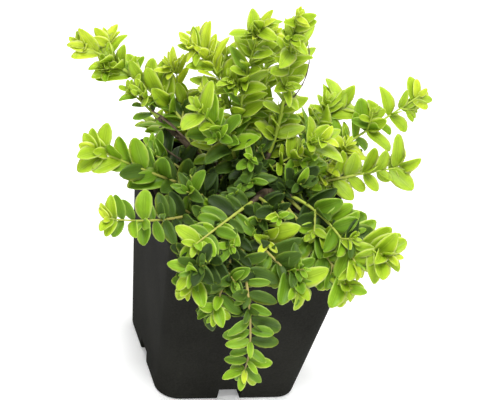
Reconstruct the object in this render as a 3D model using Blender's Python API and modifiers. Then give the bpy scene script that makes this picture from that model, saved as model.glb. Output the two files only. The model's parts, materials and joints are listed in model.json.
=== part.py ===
# A young box honeysuckle shrub in a square nursery pot.
# A short stem stands on the soil. Shoots leave it, or leave one another, on smooth curves. The bare wood of
# a shoot is a bough, and the rest of it is the main twig of a mass of leafy twigs.
# Metres, +Z up, with the origin at the middle of the pot's underside and the pot's front towards -Y.
import math
import random

import bmesh
import bpy
from mathutils import Matrix, Vector
from mathutils.bvhtree import BVHTree
from mathutils.kdtree import KDTree

MM = 0.001
GAP = 0.3 * MM  # clear space between two pieces that meet

# Pot
POT_HEIGHT = 92 * MM
RIM_SIDE = 88.4 * MM  # outside the wall, just under the lip
BASE_SIDE = 66 * MM
CORNER_RADIUS = 10 * MM
CORNER_SEGMENTS = 5
WALL = 1.4 * MM
LIP_HEIGHT = 3 * MM
LIP_OUT = 0.8 * MM
NOTCH_WIDTH = 11 * MM
NOTCH_HEIGHT = 6 * MM
NOTCH_DEPTH = 11 * MM
SOIL_TOP = 82 * MM
OVERRUN = 5 * MM  # how far a cutter runs past the face it opens

# Stem: radius at each height over the soil, from the tip down to the root flare
STEM_PROFILE = ((14.5, 1.6), (13.5, 3.0), (9, 3.7), (4, 4.3), (1.5, 5.6), (0, 7.2))
STEM_STEPS = 10

# Limbs and leaves
STEP = 6.5 * MM  # length of one straight piece of a shoot
BOUGH_SIDES = 6
TWIG_SIDES = 3
WOOD_RADIUS = 1.5 * MM  # a bough where it leaves the stem
GREEN_RADIUS = 1.05 * MM  # a shoot where its leaves begin
SIDE_RADIUS = 0.8 * MM
TIP_RADIUS = 0.55 * MM
LEAF_LENGTH = 16 * MM
LEAF_WIDTH_SHARE = 0.6  # of the length
LEAF_THICKNESS = 0.6 * MM
LEAF_FOLD = 0.16  # how far the edges rise, as a share of the half width
LEAF_CLEARANCE = 0.35 * MM
LEAF_ANGLE = (62, 32)  # degrees from the twig, at its foot and at its tip
LEAF_LIFT = (6, 26)  # how far a leaf is tipped up, at least and at most
SCATTER = (7, 14)  # degrees of chance in a leaf's angle, and in its turn round the twig
SIZE_RANGE = (0.9, 1.08)
INTERNODE = 9 * MM
CROWDING = 0.45  # how much closer the pairs stand at the tip
FIRST_NODE = 3.5 * MM
SIDE_EVERY = 2  # one node in two carries a side twig
SIDE_SHORTEST = 8 * MM
SIDE_ANGLE = 48
SIDE_SPIN = 0.5
SIDE_LIFT = 0.3
SIDE_RISE = 8  # degrees that a side twig bends up
SIDE_FIRST_NODE = 7 * MM
TIP_NODE = 2.4 * MM  # the pair at a twig's tip stands half of this short of it
PAIR_STAGGER = 0.25 * MM
LIGHT_HEADING = 249  # the side that the leaves turn to
OUTWARD_FACING = 0.4  # how far leaves face away from the pot's axis, beside facing the light
SPACE_SAMPLES = 20
TRIES = 3  # for each leaf, before it is left out
SEED = 7

# Shoots. heading, launch and finish are degrees: where the shoot points on the plan, and its rise at its
# start and at its tip. turn is how far it swings on the plan. length and wood are mm, and at is mm along the
# parent, or over the soil on the stem. curl under 1 bends early. fan is how far alternate pairs of leaves
# turn, in degrees, face is the rise of the way they face, and side is the length of its side twigs in mm.
# spread and leaf scale the spacing of its leaves and their length.
SHOOTS = (
    dict(name="back_left", parent="stem", at=6, heading=143, turn=5, launch=29, finish=30, length=73,
         wood=54, side=0, face=45, leaf=0.75),
    dict(name="back_left_over", parent="back_left", at=26, heading=127, turn=24, launch=52, finish=-1,
         length=65, side=17, face=45, spread=0.65, leaf=1.1),
    dict(name="back_left_tip", parent="back_left_over", at=50, heading=150, turn=4, launch=30, finish=4,
         length=30, face=45),
    dict(name="back_left_upright", parent="back_left", at=34, heading=105, turn=2, launch=30, finish=75,
         length=40, fan=90),
    dict(name="back_left_under", parent="back_left", at=20, heading=112, launch=8, finish=-20, length=46),
    dict(name="upper_left", parent="stem", at=8, heading=193, turn=-7, launch=74, finish=41, length=62,
         wood=16, fan=80, leaf=1.1),
    dict(name="inner_left", parent="back_left", at=11, heading=172, launch=62, finish=70, length=27),
    dict(name="left_upper", parent="stem", at=4, heading=187, turn=-18, launch=22, finish=20, length=80,
         wood=26, face=35, side=12, leaf=1.2),
    dict(name="left_inner", parent="left_upper", at=16, heading=141, launch=22, finish=12, length=36,
         leaf=1.15),
    dict(name="left_level", parent="left_upper", at=10, heading=229, turn=-38, launch=10, finish=15,
         length=76, wood=18, face=30, side=8, spread=1.15, leaf=1.3),
    dict(name="leader", parent="stem", at=13, heading=12, turn=62, launch=46, finish=117, length=104,
         wood=20, curl=0.5, fan=90),
    dict(name="inner_right", parent="leader", at=10, heading=62, launch=40, finish=55, length=30),
    dict(name="upper_middle", parent="stem", at=9, heading=130, launch=52, finish=99, length=86, wood=24,
         curl=0.5, fan=90, leaf=1.2),
    dict(name="inner_middle", parent="upper_middle", at=14, heading=262, launch=38, finish=50, length=28),
    dict(name="inner_low_left", parent="left_level", at=12, heading=212, launch=48, finish=26, length=27),
    dict(name="upper_back", parent="upper_middle", at=16, heading=145, turn=-17, launch=80, finish=32,
         length=65, fan=70, side=20, spread=0.85),
    dict(name="upper_right_back", parent="leader", at=16, heading=88, turn=4, launch=27, finish=94,
         length=61, fan=80),
    dict(name="right_long", parent="stem", at=3, heading=10, turn=-2, launch=31, finish=33, length=95,
         wood=34, face=35, spread=1.1, leaf=1.2),
    dict(name="right_rosette", parent="right_long", at=18, heading=312, launch=72, finish=57, length=39,
         fan=80, leaf=1.15),
    dict(name="right_upright", parent="right_long", at=24, heading=50, turn=-20, launch=55, finish=20,
         length=45, fan=80),
    dict(name="right_level", parent="stem", at=7, heading=348, turn=1, launch=26, finish=19, length=74,
         wood=24, face=30, leaf=1.1),
    dict(name="right_lower", parent="right_level", at=20, heading=11, turn=-4, launch=54, finish=7,
         length=34),
    dict(name="inner_low_right", parent="right_level", at=14, heading=282, launch=50, finish=36, length=26),
    dict(name="right_inner", parent="leader", at=8, heading=338, turn=4, launch=45, finish=47, length=23),
    dict(name="front_right", parent="stem", at=8, heading=298, turn=3, launch=52, finish=-42, length=80,
         wood=32, leaf=1.1),
    dict(name="right_corner", parent="front_right", at=28, heading=305, turn=7, launch=-20, finish=19,
         length=59, side=14, leaf=1.15),
    dict(name="front_right_low", parent="front_right", at=20, heading=286, turn=23, launch=1, finish=-35,
         length=61, leaf=1.1),
    dict(name="across", parent="front_right", at=16, heading=230, turn=-8, launch=13, finish=-3,
         length=67, wood=17, side=8),
    dict(name="inner_front", parent="across", at=10, heading=272, launch=25, finish=10, length=30),
    dict(name="front_hanging", parent="stem", at=4, heading=239, turn=59, launch=36, finish=-105,
         length=114, wood=48, curl=1.2, side=8),
    dict(name="front_left_low", parent="front_hanging", at=22, heading=246, turn=-24, launch=20,
         finish=-36, length=61),
    dict(name="front_left_hanging", parent="front_hanging", at=34, heading=252, turn=-14, launch=8,
         finish=-70, length=51),
    dict(name="front_left_corner", parent="left_level", at=8, heading=255, turn=-20, launch=14, finish=-2,
         length=68),
    dict(name="front_low", parent="front_hanging", at=38, heading=298, turn=14, launch=-4, finish=-24,
         length=41),
    dict(name="front_middle", parent="front_hanging", at=11, heading=287, launch=20, finish=1, length=39,
         leaf=1.1),
    dict(name="back_right", parent="stem", at=10, heading=38, launch=30, finish=8, length=62, wood=20),
    dict(name="back_right_low", parent="back_right", at=12, heading=4, turn=44, launch=14, finish=-32,
         length=58),
    dict(name="back", parent="stem", at=7, heading=67, launch=28, finish=-25, length=74, wood=22),
    dict(name="back_low", parent="stem", at=4, heading=104, launch=38, finish=-40, length=76, wood=22),
)
DEFAULTS = dict(turn=0, wood=0, curl=1, fan=25, face=62, side=17, spread=1, leaf=1)

POT_BLACK = (0.022, 0.022, 0.022)
SOIL_BROWN = (0.035, 0.022, 0.014)
BARK = (0.20, 0.12, 0.07)
LEAF_GREEN = (0.16, 0.34, 0.04)


def new_collection(name):
    collection = bpy.data.collections.new(name)
    bpy.context.scene.collection.children.link(collection)
    return collection


def new_material(name, colour, roughness):
    material = bpy.data.materials.new(name)
    material.use_nodes = True
    shader = material.node_tree.nodes["Principled BSDF"]
    shader.inputs["Base Color"].default_value = (*colour, 1)
    shader.inputs["Roughness"].default_value = roughness
    shader.inputs["Metallic"].default_value = 0
    return material


def new_object(name, data, collection):
    item = bpy.data.objects.new(name, data)
    collection.objects.link(item)
    return item


def object_from_bmesh(name, bm, collection):
    mesh = bpy.data.meshes.new(name)
    bm.to_mesh(mesh)
    bm.free()
    return new_object(name, mesh, collection)


def as_cutter(item):
    item.hide_render = True
    item.display_type = "WIRE"
    return item


def add_boolean(item, operation, other):
    modifier = item.modifiers.new(operation.lower(), "BOOLEAN")
    modifier.operation = operation
    modifier.solver = "EXACT"
    if isinstance(other, bpy.types.Collection):
        modifier.operand_type = "COLLECTION"
        modifier.collection = other
    else:
        modifier.object = other


def evaluated_mesh(item):
    graph = bpy.context.evaluated_depsgraph_get()
    return bpy.data.meshes.new_from_object(item.evaluated_get(graph), depsgraph=graph)


def apply_modifiers(item):
    mesh = evaluated_mesh(item)
    old = item.data
    item.modifiers.clear()
    item.data = mesh
    bpy.data.meshes.remove(old)


def remove_object(item):
    data = item.data
    bpy.data.objects.remove(item)
    if isinstance(data, bpy.types.Curve):
        bpy.data.curves.remove(data)
    else:
        bpy.data.meshes.remove(data)


# Pot and soil

def wall_half(height):
    """Half the pot's outer width at a height."""
    return (BASE_SIDE + (RIM_SIDE - BASE_SIDE) * height / POT_HEIGHT) / 2


def tapered_block(name, inset, bottom, top, collection):
    """A block with the pot's taper and rounded upright edges, its sides moved in by inset."""
    bm = bmesh.new()
    bmesh.ops.create_cube(bm, size=2)
    for vertex in bm.verts:
        height = top if vertex.co.z > 0 else bottom
        half = wall_half(height) - inset
        vertex.co = Vector((half * vertex.co.x, half * vertex.co.y, height))
    upright = [edge for edge in bm.edges if abs(edge.verts[0].co.z - edge.verts[1].co.z) > (top - bottom) / 2]
    radius = CORNER_RADIUS - inset
    bmesh.ops.bevel(bm, geom=upright, offset=radius, segments=CORNER_SEGMENTS, profile=0.5, affect="EDGES")
    return object_from_bmesh(name, bm, collection)


def notch_blocks(name, grow, collection):
    """The pockets behind the drainage notches, one at the foot of each side, grown on every face."""
    bm = bmesh.new()
    outer = wall_half(NOTCH_HEIGHT) + OVERRUN
    inner = wall_half(0) - NOTCH_DEPTH - grow
    size = Vector((outer - inner, NOTCH_WIDTH + 2 * grow, NOTCH_HEIGHT + grow + OVERRUN))
    middle = Vector(((outer + inner) / 2, 0, NOTCH_HEIGHT + grow - size.z / 2))
    for quarter in range(4):
        place = Matrix.Rotation(math.radians(90 * quarter), 4, "Z") @ Matrix.Translation(middle)
        bmesh.ops.create_cube(bm, size=1, matrix=place @ Matrix.Diagonal((*size, 1)))
    return as_cutter(object_from_bmesh(name, bm, collection))


def make_pot(parts, cutters):
    lip = as_cutter(tapered_block("lip_band", -LIP_OUT, POT_HEIGHT - LIP_HEIGHT, POT_HEIGHT, cutters))
    cavity = as_cutter(tapered_block("pot_cavity", WALL, WALL, POT_HEIGHT + OVERRUN, cutters))
    add_boolean(cavity, "DIFFERENCE", notch_blocks("pocket_roofs", WALL, cutters))
    pot = tapered_block("pot", 0, 0, POT_HEIGHT, parts)
    add_boolean(pot, "UNION", lip)
    add_boolean(pot, "DIFFERENCE", notch_blocks("notches", 0, cutters))
    add_boolean(pot, "DIFFERENCE", cavity)
    pot.data.materials.append(new_material("pot_plastic", POT_BLACK, 0.55))
    return pot


def make_soil(parts, cutters):
    soil = tapered_block("soil", WALL + GAP, WALL + GAP, SOIL_TOP, parts)
    add_boolean(soil, "DIFFERENCE", notch_blocks("soil_notches", WALL + GAP, cutters))
    soil.data.materials.append(new_material("potting_soil", SOIL_BROWN, 0.95))
    return soil


# Limbs

def make_stem(name, grow, collection):
    """The turned stem, grown on every side by grow."""
    foot = SOIL_TOP + GAP - grow
    profile = [Vector((0, 0, SOIL_TOP + STEM_PROFILE[0][0] * MM + grow))]
    for height, radius in STEM_PROFILE:
        z = foot if height == 0 else SOIL_TOP + height * MM + grow
        profile.append(Vector((radius * MM + grow, 0, z)))
    profile.append(Vector((0, 0, foot)))
    mesh = bpy.data.meshes.new(name)
    mesh.from_pydata(profile, [(i, i + 1) for i in range(len(profile) - 1)], [])
    stem = new_object(name, mesh, collection)
    screw = stem.modifiers.new("turn", "SCREW")
    screw.steps = STEM_STEPS
    screw.render_steps = STEM_STEPS
    screw.use_merge_vertices = True
    screw.merge_threshold = 0.01 * MM
    return stem


def make_section(sides, collection):
    """A regular outline of unit radius that tubes are swept with."""
    curve = bpy.data.curves.new("section", "CURVE")
    spline = curve.splines.new("POLY")
    spline.points.add(sides - 1)
    for i, point in enumerate(spline.points):
        turn = 2 * math.pi * i / sides
        point.co = (math.cos(turn), math.sin(turn), 0, 1)
    spline.use_cyclic_u = True
    return as_cutter(new_object("section_%d" % sides, curve, collection))


def make_tube(name, points, radii, section, collection):
    """A closed tube along points, with its own radius at each."""
    curve = bpy.data.curves.new(name, "CURVE")
    curve.dimensions = "3D"
    curve.bevel_mode = "OBJECT"
    curve.bevel_object = section
    curve.use_fill_caps = True
    spline = curve.splines.new("POLY")
    spline.points.add(len(points) - 1)
    for point, place, radius in zip(spline.points, points, radii):
        point.co = (*place, 1)
        point.radius = radius
    guide = new_object(name + "_guide", curve, collection)
    mesh = evaluated_mesh(guide)
    mesh.name = name
    mesh.transform(guide.matrix_world)
    remove_object(guide)
    bm = bmesh.new()
    bm.from_mesh(mesh)
    bpy.data.meshes.remove(mesh)
    bmesh.ops.remove_doubles(bm, verts=bm.verts, dist=0.001 * MM)
    bmesh.ops.recalc_face_normals(bm, faces=bm.faces)
    return object_from_bmesh(name, bm, collection)


class Path:
    """A shoot's curve: its heading swings by turn and its rise goes from launch to finish."""

    def __init__(self, start, heading, turn, launch, finish, length, curl=1):
        steps = max(2, round(length / STEP))
        self.length = length
        self.step = length / steps
        self.points = [start]
        for i in range(steps):
            share = (i + 0.5) / steps
            rise = math.radians(launch + (finish - launch) * share ** curl)
            swing = math.radians(heading + turn * share)
            way = Vector((math.cos(swing) * math.cos(rise), math.sin(swing) * math.cos(rise), math.sin(rise)))
            self.points.append(self.points[-1] + way * self.step)

    def at(self, distance):
        """The point and the direction at a distance along the curve."""
        i = min(int(distance / self.step), len(self.points) - 2)
        first, second = self.points[i], self.points[i + 1]
        way = (second - first).normalized()
        return first + way * (distance - i * self.step), way

    def piece(self, start, end):
        """The curve's points between two distances, both ends included."""
        apart = 0.2 * self.step
        inner = [point for i, point in enumerate(self.points) if start + apart < i * self.step < end - apart]
        return [self.at(start)[0]] + inner + [self.at(end)[0]]


def blend(first, last, share):
    return first + (last - first) * share


def taper(first, last, count):
    return [blend(first, last, i / (count - 1)) for i in range(count)]


# Leaves

def leaf_bmesh(length, place, grow=0):
    """A folded leaf of eight faces, its root at place's origin and its blade along X."""
    bm = bmesh.new()
    bmesh.ops.create_uvsphere(bm, u_segments=4, v_segments=2, radius=1)
    half_width = length * LEAF_WIDTH_SHARE / 2
    for vertex in bm.verts:
        x, y, z = (round(value) for value in vertex.co)
        along = length / 2 * (1 + x) + grow * x
        across = (half_width + grow) * y
        up = (LEAF_THICKNESS / 2 + grow) * z + half_width * LEAF_FOLD * abs(y)
        vertex.co = place @ Vector((along, across, up))
    return bm


def leaf_place(root, way, face, angle, spin, lift):
    """A leaf's matrix: it leaves a twig at angle, spin round the twig from the side, tipped up by lift."""
    normal = (face - way * face.dot(way)).normalized()
    normal.rotate(Matrix.Rotation(spin, 3, way))
    side = way.cross(normal)
    out = (way * math.cos(angle) + side * math.sin(angle)).normalized()
    out = (out * math.cos(lift) + normal * math.sin(lift)).normalized()
    top = (normal - out * normal.dot(out)).normalized()
    across = top.cross(out)
    turned = Matrix((out, across, top)).transposed().to_4x4()
    return Matrix.Translation(root) @ turned


class Crowd:
    """The solids placed so far, which a new twig or leaf must clear."""

    def __init__(self):
        self.solids = []

    def measure(self, bm):
        middle = sum((vertex.co for vertex in bm.verts), Vector()) / len(bm.verts)
        reach = max((vertex.co - middle).length for vertex in bm.verts)
        return middle, reach, BVHTree.FromBMesh(bm)

    def add(self, owner, bm):
        self.solids.append((owner, *self.measure(bm)))

    def add_object(self, item):
        mesh = evaluated_mesh(item)
        bm = bmesh.new()
        bm.from_mesh(mesh)
        self.add(item.name, bm)
        bm.free()
        bpy.data.meshes.remove(mesh)

    def touches(self, bm, skip):
        middle, reach, tree = self.measure(bm)
        for owner, other, other_reach, other_tree in self.solids:
            if owner != skip and (other - middle).length < reach + other_reach and tree.overlap(other_tree):
                return True
        return False


def light_side(point, rise):
    """The way leaves face at a point: to the light, and away from the pot's axis."""
    heading = math.radians(LIGHT_HEADING)
    light = Vector((math.cos(heading) * math.cos(rise), math.sin(heading) * math.cos(rise), math.sin(rise)))
    outward = Vector((point.x, point.y, 0)).normalized()
    return (light + outward * OUTWARD_FACING).normalized()


def leaf_size(share):
    """A leaf's share of the full length at a share of its twig: full in the middle and smaller at the tip."""
    return (0.85 + 0.15 * math.sin(math.pi * share)) * (1 - 1.2 * max(0, share - 0.8))


class Mass:
    """One mass of foliage: a main twig, side twigs and leaves, joined into one body at the end."""

    def __init__(self, index, shoot, path, start, crowd, spaces, folder, section):
        self.index = index
        self.name = shoot["name"]
        self.fan = math.radians(shoot["fan"])
        self.rise = math.radians(shoot["face"])
        self.side_length = shoot["side"] * MM
        self.spacing = INTERNODE * shoot["spread"]
        self.leaf_length = LEAF_LENGTH * shoot["leaf"]
        self.path = path
        self.crowd = crowd
        self.spaces = spaces
        self.folder = folder
        self.section = section
        self.random = random.Random(SEED * 100 + index)
        self.pieces = []
        self.grow(path, self.name, start, self.fan)

    def in_space(self, point):
        """True nearer this mass's main twig than any other's."""
        return self.spaces.find(point)[1] == self.index

    def chance(self, most):
        return self.random.uniform(-most, most)

    def grow(self, path, twig, start, fan):
        """Opposite pairs of leaves along a twig, closer towards its tip, with a pair at the tip."""
        distance = start
        node = 0
        while distance < path.length - TIP_NODE:
            share = distance / path.length
            self.add_pair(path, distance, twig, share, fan * (node % 2))
            length = self.side_length * (1.15 - 0.85 * share) * self.random.uniform(0.85, 1.15)
            if path is self.path and node % SIDE_EVERY == 1 and length > SIDE_SHORTEST:
                self.add_side_twig(path, distance, length, fan * (node % 2), (-1) ** (node // SIDE_EVERY))
            distance += self.spacing * (1 - CROWDING * share)
            node += 1
        self.add_pair(path, path.length - TIP_NODE / 2, twig, 1, fan * (node % 2))

    def add_pair(self, path, distance, twig, share, turned):
        for side in (1, -1):
            root, way = path.at(distance + side * PAIR_STAGGER)
            face = light_side(root, self.rise)
            for attempt in range(TRIES):
                looser = 1 + attempt
                angle = blend(*LEAF_ANGLE, share) + self.chance(SCATTER[0]) * looser
                lift = math.radians(self.random.uniform(*LEAF_LIFT) + SCATTER[0] * attempt)
                spin = turned + math.radians(self.chance(SCATTER[1]) * looser)
                length = self.leaf_length * leaf_size(share) * self.random.uniform(*SIZE_RANGE)
                place = leaf_place(root, way, face, side * math.radians(angle), spin, lift)
                if self.add_leaf(length, place, twig):
                    break

    def add_leaf(self, length, place, twig):
        """Adds a leaf if it keeps to this mass's space and clears everything but its own twig."""
        grown = leaf_bmesh(length, place, LEAF_CLEARANCE)
        clear = self.in_space(place @ Vector((length / 2, 0, 0))) and not self.crowd.touches(grown, twig)
        grown.free()
        if clear:
            leaf = leaf_bmesh(length, place)
            self.crowd.add(twig + "_leaf", leaf)
            self.pieces.append(object_from_bmesh("leaf", leaf, self.folder))
        return clear

    def add_side_twig(self, path, distance, length, turned, side):
        root, way = path.at(distance)
        angle = side * math.radians(SIDE_ANGLE)
        face = light_side(root, self.rise)
        place = leaf_place(root, way, face, angle, turned + SIDE_SPIN, SIDE_LIFT)
        out = place.col[0].to_3d()
        heading = math.degrees(math.atan2(out.y, out.x))
        rise = math.degrees(math.asin(out.z))
        branch = Path(root, heading, 0, rise, rise + SIDE_RISE, length)
        radii = taper(SIDE_RADIUS, TIP_RADIUS, len(branch.points))
        wide = [radius + LEAF_CLEARANCE for radius in radii[1:]]
        probe = make_tube("probe", branch.points[1:], wide, self.section, self.folder)
        bm = bmesh.new()
        bm.from_mesh(probe.data)
        clear = self.in_space(branch.points[-1]) and not self.crowd.touches(bm, None)
        bm.free()
        remove_object(probe)
        if clear:
            name = "%s_side_%d" % (self.name, len(self.pieces))
            twig = make_tube(name, branch.points, radii, self.section, self.folder)
            self.crowd.add_object(twig)
            self.pieces.append(twig)
            self.grow(branch, name, SIDE_FIRST_NODE, math.pi / 2)

    def join(self, twig):
        """Joins the pieces to the main twig."""
        if self.pieces:
            add_boolean(twig, "UNION", self.folder)
            apply_modifiers(twig)
        for piece in self.pieces:
            remove_object(piece)
        keep_largest_body(twig)


def keep_largest_body(item):
    """Drops loose scraps, and the shells of hollows that joining has sealed."""
    bm = bmesh.new()
    bm.from_mesh(item.data)
    unseen = set(bm.verts)
    bodies = []
    while unseen:
        front = [unseen.pop()]
        body = set(front)
        while front:
            for edge in front.pop().link_edges:
                new = set(edge.verts) - body
                body |= new
                front.extend(new)
        unseen -= body
        bodies.append(body)
    bodies.sort(key=len)
    for body in bodies[:-1]:
        bmesh.ops.delete(bm, geom=list(body), context="VERTS")
    bm.to_mesh(item.data)
    bm.free()


def cut_clear(limb, parent):
    """Cuts a limb's foot to stand clear of its grown parent."""
    add_boolean(limb, "DIFFERENCE", parent)
    apply_modifiers(limb)
    keep_largest_body(limb)


def main():
    for item in list(bpy.data.objects):
        bpy.data.objects.remove(item)
    parts = new_collection("box_honeysuckle")
    cutters = new_collection("cutters")
    folder = new_collection("loose_pieces")
    bark = new_material("bark", BARK, 0.85)
    hexagon = make_section(BOUGH_SIDES, cutters)
    triangle = make_section(TWIG_SIDES, cutters)

    pot = make_pot(parts, cutters)
    soil = make_soil(parts, cutters)
    stem = make_stem("stem", 0, parts)
    stem.data.materials.append(bark)
    crowd = Crowd()
    for item in (pot, soil, stem):
        crowd.add_object(item)

    # Limbs come first, so that leaves can clear them all.
    paths = {}
    grown = {"stem": as_cutter(make_stem("grown_stem", GAP, cutters))}
    spaces = KDTree(SPACE_SAMPLES * len(SHOOTS))
    started = []
    for index, given in enumerate(SHOOTS):
        shoot = dict(DEFAULTS, **given)
        name = shoot["name"]
        parent = shoot["parent"]
        start = Vector((0, 0, SOIL_TOP + shoot["at"] * MM))
        if parent != "stem":
            start = paths[parent].at(shoot["at"] * MM)[0]
        length = shoot["length"] * MM
        wood = shoot["wood"] * MM
        bends = [shoot[key] for key in ("heading", "turn", "launch", "finish")]
        path = Path(start, *bends, length, shoot["curl"])
        paths[name] = path
        bare = path.piece(0, wood) if wood else []
        bare_radii = taper(WOOD_RADIUS, GREEN_RADIUS, len(bare))
        if wood:
            bough = make_tube("bough_" + name, bare, bare_radii, hexagon, parts)
            cut_clear(bough, grown[parent])
            bough.data.materials.append(bark)
            crowd.add_object(bough)
        foot = wood + GAP if wood else 0
        green = path.piece(foot, length)
        green_radii = taper(GREEN_RADIUS, TIP_RADIUS, len(green))
        twig = make_tube(name, green, green_radii, triangle, parts)
        wide = [radius + GAP for radius in bare_radii[:-1] + green_radii]
        grown[name] = as_cutter(make_tube("grown_" + name, bare[:-1] + green, wide, hexagon, cutters))
        if not wood:
            cut_clear(twig, grown[parent])
        crowd.add_object(twig)
        first = FIRST_NODE + (wood or 2 * WOOD_RADIUS)
        started.append((index, shoot, path, first, twig))
        for i in range(SPACE_SAMPLES):
            share = (i + 0.5) / SPACE_SAMPLES
            spaces.insert(path.at(foot + (length - foot) * share)[0], index)
    spaces.balance()

    for index, shoot, path, first, twig in started:
        mass = Mass(index, shoot, path, first, crowd, spaces, folder, triangle)
        mass.join(twig)
        twig.name = "mass_" + shoot["name"]
        shade = 0.85 + 0.3 * (index % 4) / 3
        colour = [value * shade for value in LEAF_GREEN]
        twig.data.materials.clear()
        twig.data.materials.append(new_material("leaves_" + shoot["name"], colour, 0.45))
    bpy.data.collections.remove(folder)


main()
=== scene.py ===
# Dresses the potted box honeysuckle: pot, compost, bark, green twigs and leaves.
# Lengths in the settings are mm and angles are degrees, as on a drawing. The scene itself is in metres.
import math

import numpy as np

import bpy
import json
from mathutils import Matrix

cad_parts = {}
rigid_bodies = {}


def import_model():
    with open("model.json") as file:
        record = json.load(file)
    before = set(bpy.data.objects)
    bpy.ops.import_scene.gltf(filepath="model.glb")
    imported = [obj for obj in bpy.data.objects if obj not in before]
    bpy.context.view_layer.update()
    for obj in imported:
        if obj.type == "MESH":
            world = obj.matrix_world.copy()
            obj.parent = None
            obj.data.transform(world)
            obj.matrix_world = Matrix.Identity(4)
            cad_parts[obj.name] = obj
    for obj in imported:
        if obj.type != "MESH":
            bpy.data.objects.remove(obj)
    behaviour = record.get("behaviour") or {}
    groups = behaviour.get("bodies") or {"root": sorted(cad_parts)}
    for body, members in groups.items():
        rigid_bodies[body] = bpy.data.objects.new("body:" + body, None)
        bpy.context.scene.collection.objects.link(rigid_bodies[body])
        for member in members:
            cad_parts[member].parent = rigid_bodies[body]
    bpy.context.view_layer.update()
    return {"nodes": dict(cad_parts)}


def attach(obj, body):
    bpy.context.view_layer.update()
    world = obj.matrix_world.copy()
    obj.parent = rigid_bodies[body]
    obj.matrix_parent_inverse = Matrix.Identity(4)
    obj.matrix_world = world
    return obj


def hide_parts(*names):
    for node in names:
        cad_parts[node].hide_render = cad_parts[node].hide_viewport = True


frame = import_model()
mm = 0.001
print("frame loaded:", len(frame["nodes"]), "nodes")


# Camera: the photograph is tilted, so the camera is rolled and the pot stands upright.

cameraSettings = {
    "azimuth": -21.2,
    "elevation": 33.85,
    "roll": 12.3,
    "distance": 1.4,
    "target": (0.00245, 0, 0.0887),
    "lens": 223,
}


def addCamera(settings):
    azimuth, elevation, roll = (math.radians(settings[key]) for key in ("azimuth", "elevation", "roll"))
    back = np.array([math.sin(azimuth) * math.cos(elevation), -math.cos(azimuth) * math.cos(elevation), math.sin(elevation)])
    level = np.array([math.cos(azimuth), math.sin(azimuth), 0])
    right = level * math.cos(roll) + np.cross(back, level) * math.sin(roll)
    place = np.eye(4)
    place[:3, 0] = right
    place[:3, 1] = np.cross(back, right)
    place[:3, 2] = back
    place[:3, 3] = np.array(settings["target"]) + back * settings["distance"]
    data = bpy.data.cameras.new("studioCamera")
    data.lens = settings["lens"]
    data.clip_end = 20
    camera = bpy.data.objects.new("studioCamera", data)
    bpy.context.scene.collection.objects.link(camera)
    camera.matrix_world = place.T.tolist()
    bpy.context.scene.camera = camera


addCamera(cameraSettings)


# Light and floor

studioSettings = {
    "keyLight": {"at": (-0.15, -0.5, 1.3), "size": 0.6, "watts": 19},
    "fillLight": {"at": (0.25, -1.3, 0.35), "size": 0.6, "watts": 4},
    "backLight": {"at": (0.35, 0.8, 1.0), "size": 1.6, "watts": 13},
    "skyStrength": 0.64,
    "floorSize": 6,
    "floorColour": (0.93, 0.93, 0.93),
    "floorGlow": 0.2,
}


def newMaterial(name, colour, roughness):
    material = bpy.data.materials.new(name)
    material.use_nodes = True
    shader = material.node_tree.nodes["Principled BSDF"]
    shader.inputs["Base Color"].default_value = (*colour, 1)
    shader.inputs["Roughness"].default_value = roughness
    return material, material.node_tree, shader


def addStudio(settings):
    for name in ("keyLight", "fillLight", "backLight"):
        spec = settings[name]
        data = bpy.data.lights.new(name, "AREA")
        data.shape = "DISK"
        data.size = spec["size"]
        data.energy = spec["watts"]
        lamp = bpy.data.objects.new(name, data)
        bpy.context.scene.collection.objects.link(lamp)
        back = np.array(spec["at"]) - np.array([0, 0, 0.1])
        back /= np.linalg.norm(back)
        side = np.cross([0, 0, 1], back)
        side /= np.linalg.norm(side)
        place = np.eye(4)
        place[:3, 0] = side
        place[:3, 1] = np.cross(back, side)
        place[:3, 2] = back
        place[:3, 3] = spec["at"]
        lamp.matrix_world = place.T.tolist()
    world = bpy.data.worlds.new("studioSky")
    world.use_nodes = True
    sky = world.node_tree.nodes["Background"]
    sky.inputs["Color"].default_value = (1, 1, 1, 1)
    sky.inputs["Strength"].default_value = settings["skyStrength"]
    bpy.context.scene.world = world
    half = settings["floorSize"] / 2
    mesh = bpy.data.meshes.new("studioFloor")
    mesh.from_pydata([(-half, -half, 0), (half, -half, 0), (half, half, 0), (-half, half, 0)], [], [(0, 1, 2, 3)])
    floor = bpy.data.objects.new("studioFloor", mesh)
    bpy.context.scene.collection.objects.link(floor)
    floor.location.z = -0.0002
    paper, _, shader = newMaterial("floorPaper", settings["floorColour"], 0.8)
    shader.inputs["Emission Color"].default_value = (1, 1, 1, 1)
    shader.inputs["Emission Strength"].default_value = settings["floorGlow"]
    mesh.materials.append(paper)


addStudio(studioSettings)
bpy.context.scene.view_settings.view_transform = "Standard"
print("camera, lights and floor placed")


# Meshes from arrays

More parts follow.
